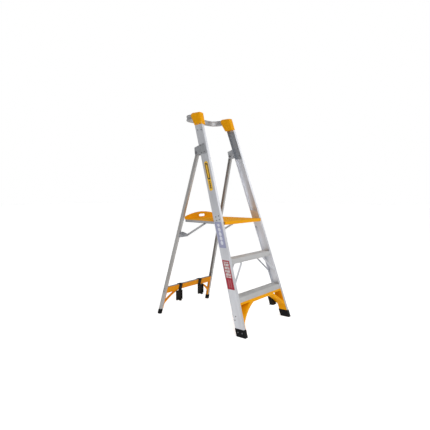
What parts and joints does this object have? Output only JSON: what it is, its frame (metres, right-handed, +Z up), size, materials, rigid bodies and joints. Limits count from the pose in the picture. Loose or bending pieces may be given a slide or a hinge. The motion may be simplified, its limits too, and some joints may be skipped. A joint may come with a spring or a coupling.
{
  "type": "platform step ladder",
  "caption": "Folding platform step ladder: splayed channel-section front frame with treads, moulded platform with toe board, bowed guard rail and hinged rear legs.",
  "frame": {"origin": "on the floor, midway between the front and rear feet and between the sides", "axes": "+X to the right of someone who climbs, -Y towards that person, +Z up"},
  "size_m": [0.7042, 0.9931, 1.7946],
  "materials": {
    "aluminium": "mill-finish extrusion",
    "steel": "zinc-plated sheet",
    "rivet": "bright",
    "yellow_plastic": "moulded, fine texture",
    "rubber": "matt",
    "black_plastic": "moulded",
    "label_yellow": "printed film",
    "label_blue": "printed film",
    "label_red": "printed film"
  },
  "bodies": {
    "front_frame": {"stile_left": "aluminium", "stile_right": "aluminium", "stile_liner_left": "steel", "stile_liner_right": "steel", "platform_bracket_left": "steel", "platform_bracket_right": "steel", "platform_pivot_pin_left": "steel", "platform_pivot_pin_right": "steel", "tread_lower": "aluminium", "tread_upper": "aluminium", "tread_brace_front_left": "aluminium", "tread_brace_front_right": "aluminium", "tread_brace_rear_left": "aluminium", "tread_brace_rear_right": "aluminium", "front_arch_brace": "yellow_plastic", "front_boot_left": "rubber", "front_boot_right": "rubber", "storage_catch_left": "black_plastic", "storage_catch_right": "black_plastic", "hinge_bracket_left": "steel", "hinge_bracket_right": "steel", "hinge_bolt_left": "steel", "hinge_bolt_right": "steel", "hinge_spacer_left": "black_plastic", "hinge_spacer_right": "black_plastic", "guard_rail": "aluminium", "top_cap_left": "yellow_plastic", "top_cap_right": "yellow_plastic", "frame_rivets": "rivet", "label_upper": "label_yellow", "label_middle": "label_blue", "label_lower": "label_red"},
    "rear_frame": {"rear_leg_left": "aluminium", "rear_leg_right": "aluminium", "rear_foot_left": "rubber", "rear_foot_right": "rubber", "rear_cross_bar": "aluminium", "rear_arch_brace": "yellow_plastic", "closing_clip_left": "black_plastic", "closing_clip_right": "black_plastic", "strut_bracket_left": "steel", "strut_bracket_right": "steel", "rear_rivets": "rivet"},
    "platform": {"platform_deck": "yellow_plastic", "platform_rail_left": "aluminium", "platform_rail_right": "aluminium", "cross_member_front": "aluminium", "cross_member_rear": "aluminium", "strut_pin_left": "steel", "strut_pin_right": "steel"},
    "strut_left": {"platform_strut_left": "aluminium"},
    "strut_right": {"platform_strut_right": "aluminium"}
  },
  "joints": [
    {"name": "rear_fold", "type": "hinge", "parent": "front_frame", "child": "rear_frame", "pos_m": [0, 0.09317, 1.447], "axis": [-1, 0, 0], "range_deg": [0, 30]},
    {"name": "platform_tilt", "type": "hinge", "parent": "front_frame", "child": "platform", "pos_m": [0, -0.15615, 0.848], "axis": [1, 0, 0], "range_deg": [0, 72.01]},
    {"name": "strut_swing_left", "type": "hinge", "parent": "platform", "child": "strut_left", "pos_m": [-0.24, 0.00435, 0.848], "axis": [-1, 0, 0], "range_deg": [0, 146.8]},
    {"name": "strut_swing_right", "type": "hinge", "parent": "platform", "child": "strut_right", "pos_m": [0.24, 0.00435, 0.848], "axis": [-1, 0, 0], "range_deg": [0, 146.8]}
  ],
  "couplings": [
    {"joint": "platform_tilt", "follows": "rear_fold", "ratio": 2.4},
    {"joint": "strut_swing_left", "follows": "rear_fold", "ratio": 4.8929},
    {"joint": "strut_swing_right", "follows": "rear_fold", "ratio": 4.8929}
  ]
}
